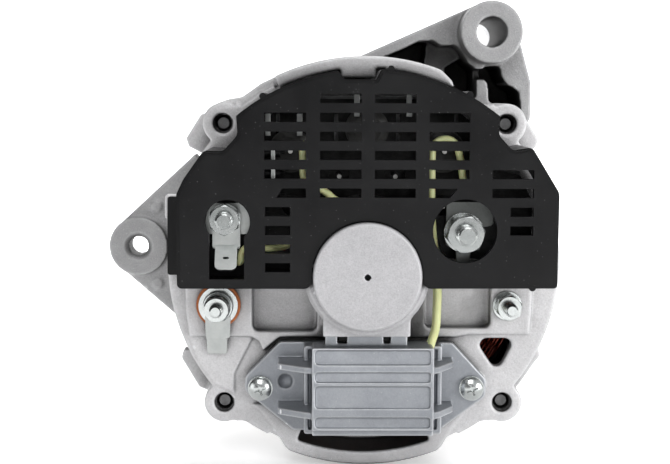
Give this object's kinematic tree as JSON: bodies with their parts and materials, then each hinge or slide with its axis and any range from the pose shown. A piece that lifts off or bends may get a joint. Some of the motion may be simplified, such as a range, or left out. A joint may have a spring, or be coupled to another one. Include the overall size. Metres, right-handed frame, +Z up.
{
  "type": "automotive alternator",
  "caption": "Belt-driven claw-pole alternator with external fan, pivot boss, tapped adjuster ear, black slotted rear cover, finned regulator and spring-loaded brushes on slip rings.",
  "frame": {"origin": "on the rotor axis, in the middle plane of the pulley's belt groove", "axes": "+Y along the rotor axis towards the pulley nut; the cast bearing cap and terminals face -Y; +Z up, as the picture shows it; +X to the right seen from the terminals, on the pivot boss's side"},
  "size_m": [0.1473, 0.1854, 0.1467],
  "materials": {
    "cast_aluminium": "blasted die casting",
    "cast_aluminium_dark": "blasted die casting",
    "heatsink_aluminium": "die cast, light blue-grey cast",
    "black_plastic": "glass-filled moulding, fine grain",
    "dark_plate": "dark passivated plate",
    "grey_plate": "rolled plate",
    "bright_zinc": "bright zinc plated",
    "tinned": "tinned",
    "bolt_steel": "phosphated",
    "diode_case": "dark plated case with black potting",
    "lamination": "varnished laminations",
    "forged_steel": "varnished forging",
    "turned_steel": "turned",
    "bearing_steel": "ground",
    "steel_sheet": "pressed, zinc plated",
    "pulley_steel": "black phosphate",
    "copper": "enamelled copper, red-brown",
    "ring_copper": "turned copper",
    "cage_brass": "pressed",
    "lead_yellow": "pale yellow-green insulation",
    "fibre": "vulcanised fibre",
    "carbon": "copper-carbon brush",
    "bobbin_plastic": "natural nylon",
    "spring_steel": "spring wire"
  },
  "bodies": {
    "stator_assembly": {"rear_housing": "cast_aluminium", "drive_end_bracket": "cast_aluminium_dark", "pivot_sleeve": "turned_steel", "stator_core": "lamination", "stator_winding": "copper", "through_bolts": "bolt_steel", "rear_cover": "black_plastic", "positive_heatsink": "dark_plate", "negative_heatsink": "grey_plate", "positive_diodes": "diode_case", "negative_diodes": "diode_case", "exciter_diodes": "black_plastic", "phase_terminals": "tinned", "terminal_block": "black_plastic", "rectifier_insulators": "fibre", "output_stud": "bright_zinc", "output_nut": "bright_zinc", "output_washers": "bright_zinc", "output_bus": "dark_plate", "exciter_stud": "bright_zinc", "exciter_nut": "bright_zinc", "exciter_terminal": "tinned", "phase_stud": "bright_zinc", "phase_terminal_plate": "tinned", "fibre_washer": "fibre", "ground_stud": "bright_zinc", "terminal_washers": "bright_zinc", "terminal_nuts": "bright_zinc", "regulator_heatsink": "heatsink_aluminium", "regulator_screws": "bright_zinc", "brush_holder": "black_plastic", "upper_brush_spring": "spring_steel", "lower_brush_spring": "spring_steel", "output_lead": "lead_yellow", "sense_lead": "lead_yellow", "exciter_lead": "lead_yellow", "rear_bearing_outer": "bearing_steel", "front_bearing_outer": "bearing_steel", "bearing_retainer": "steel_sheet", "retainer_screws": "bright_zinc"},
    "rotor": {"shaft": "turned_steel", "front_claw_pole": "forged_steel", "rear_claw_pole": "forged_steel", "field_coil": "copper", "coil_bobbin": "bobbin_plastic", "slip_rings": "ring_copper", "slip_ring_moulding": "black_plastic", "rotor_spacer": "turned_steel", "fan": "steel_sheet", "pulley": "pulley_steel", "woodruff_key": "turned_steel", "pulley_nut": "bright_zinc", "rear_bearing_inner": "bearing_steel", "front_bearing_inner": "bearing_steel"},
    "rear_ball_set": {"rear_bearing_balls": "bearing_steel", "rear_bearing_cage": "cage_brass"},
    "front_ball_set": {"front_bearing_balls": "bearing_steel", "front_bearing_cage": "cage_brass"},
    "upper_brush": {"upper_brush": "carbon"},
    "lower_brush": {"lower_brush": "carbon"}
  },
  "joints": [
    {"name": "rotor_spin", "type": "hinge", "parent": "stator_assembly", "child": "rotor", "pos_m": [0, 0, 0], "axis": [0, 1, 0], "continuous": true},
    {"name": "rear_ball_set_spin", "type": "hinge", "parent": "stator_assembly", "child": "rear_ball_set", "pos_m": [0, -0.1476, 0], "axis": [0, 1, 0], "continuous": true},
    {"name": "front_ball_set_spin", "type": "hinge", "parent": "stator_assembly", "child": "front_ball_set", "pos_m": [0, -0.038, 0], "axis": [0, 1, 0], "continuous": true},
    {"name": "upper_brush_slide", "type": "slide", "parent": "stator_assembly", "child": "upper_brush", "axis": [0, 0, -1], "range_m": [0, 0.006], "stiffness_N_per_m": 150, "springref_m": -0.015, "deforming": ["upper_brush_spring"]},
    {"name": "lower_brush_slide", "type": "slide", "parent": "stator_assembly", "child": "lower_brush", "axis": [0, 0, -1], "range_m": [0, 0.006], "stiffness_N_per_m": 150, "springref_m": -0.015, "deforming": ["lower_brush_spring"]}
  ],
  "couplings": [
    {"joint": "rear_ball_set_spin", "follows": "rotor_spin", "ratio": 0.3678},
    {"joint": "front_ball_set_spin", "follows": "rotor_spin", "ratio": 0.3643}
  ]
}
